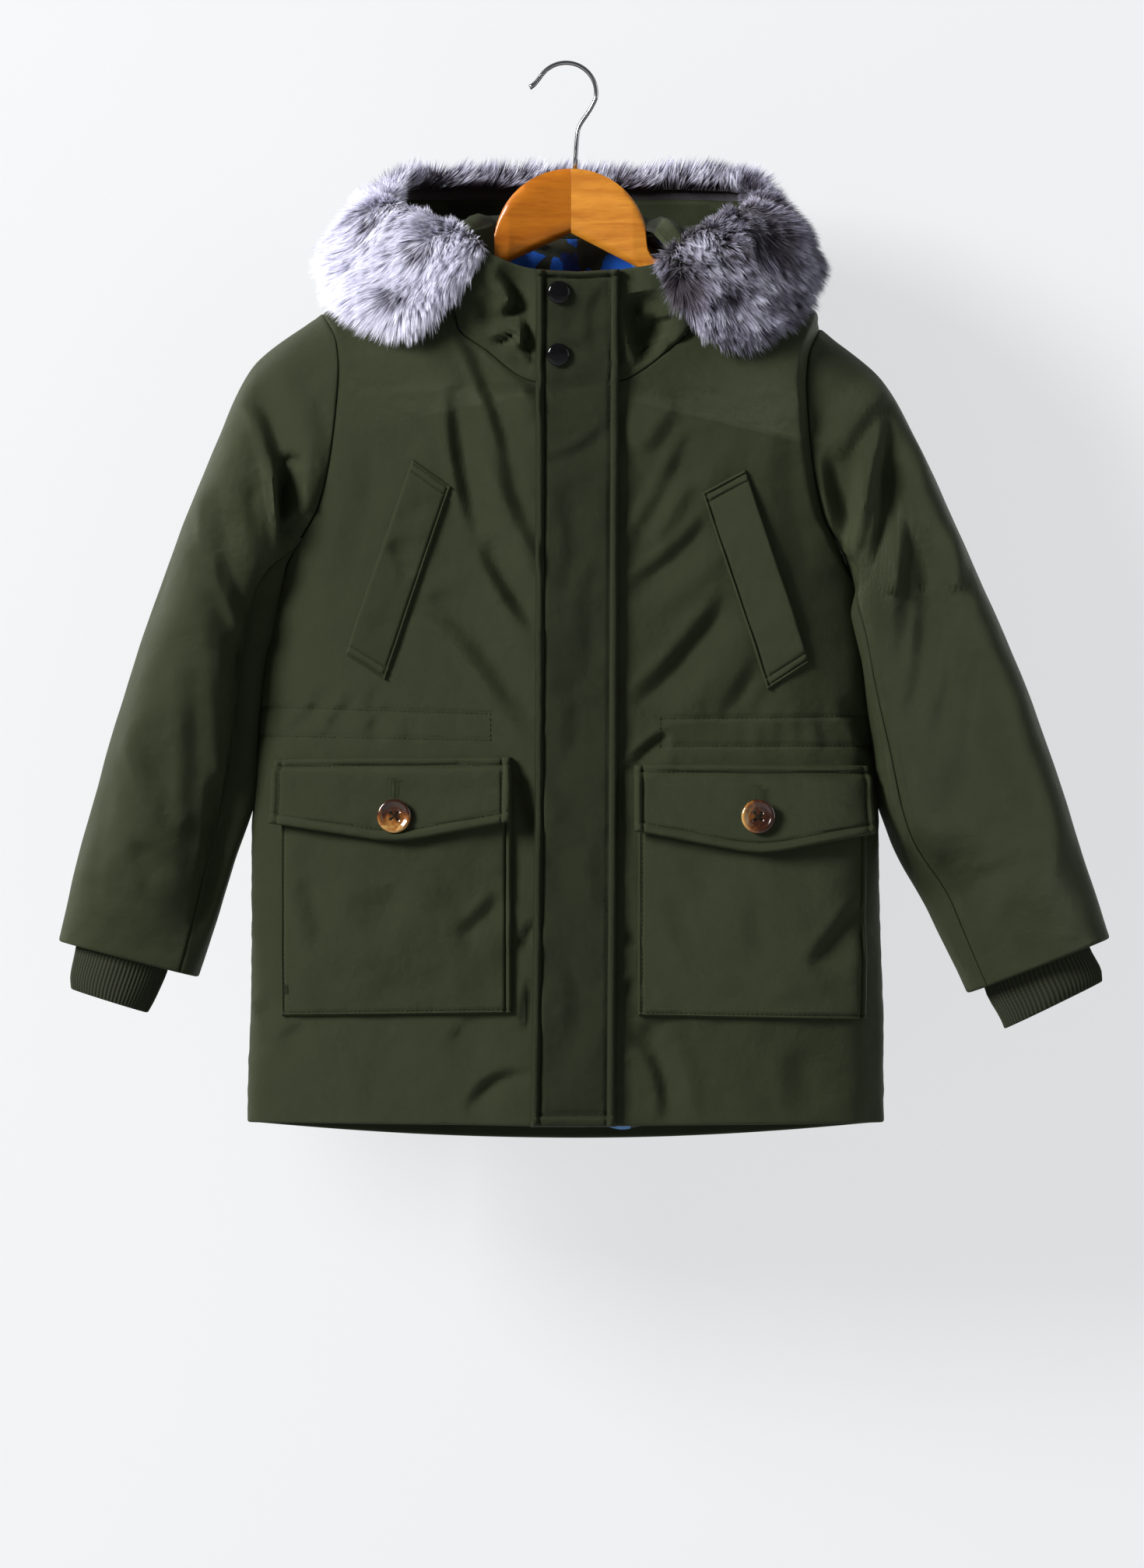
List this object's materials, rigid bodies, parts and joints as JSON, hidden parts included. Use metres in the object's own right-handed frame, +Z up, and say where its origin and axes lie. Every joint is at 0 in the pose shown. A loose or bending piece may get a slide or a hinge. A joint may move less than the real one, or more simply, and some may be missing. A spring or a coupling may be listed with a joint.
{
  "type": "parka jacket on a clothes hanger",
  "caption": "Child's padded winter parka with a fur-trimmed hood, flapped cargo pockets and slanted chest pockets, hanging open-necked on a wooden clothes hanger.",
  "frame": {"origin": "seat of the hanger's hook: the inside top of its bend, where a rail carries it", "axes": "+Z up, +Y from the garment's front to its back (the front faces -Y), +X to the right as seen from the front"},
  "size_m": [0.7127, 0.2155, 0.731],
  "materials": {
    "olive_cloth": "olive satin-faced polyester, lightly sheened, padded",
    "olive_dark_cloth": "plain olive cloth",
    "rib_knit": "ribbed knit, matt",
    "faux_fur": "long pile faux fur, lavender-grey tips over dark brown-grey roots",
    "camo_lining": "blue and olive camouflage print, smooth lining cloth",
    "amber_wood": "amber varnish",
    "chrome": "polished",
    "black_gloss": "glossy black",
    "tortoise": "polished tortoiseshell brown"
  },
  "bodies": {
    "root": {"back": "olive_cloth", "button_left": "tortoise", "button_right": "tortoise", "cuff_left": "rib_knit", "cuff_right": "rib_knit", "flap_left": "olive_cloth", "flap_right": "olive_cloth", "front_left": "olive_cloth", "front_right": "olive_cloth", "fur_back": "faux_fur", "fur_left": "faux_fur", "fur_right": "faux_fur", "hanger_arm_left": "amber_wood", "hanger_arm_right": "amber_wood", "hanger_hook": "chrome", "hood_center": "olive_cloth", "hood_left": "olive_cloth", "hood_right": "olive_cloth", "lining_hem": "camo_lining", "lining_neck": "camo_lining", "neck_tab": "olive_dark_cloth", "placket": "olive_cloth", "pocket_left": "olive_cloth", "pocket_right": "olive_cloth", "sleeve_left_under": "olive_cloth", "sleeve_left_upper": "olive_cloth", "sleeve_right_under": "olive_cloth", "sleeve_right_upper": "olive_cloth", "snap_lower": "black_gloss", "snap_upper": "black_gloss", "welt_left": "olive_cloth", "welt_right": "olive_cloth"}
  },
  "joints": []
}
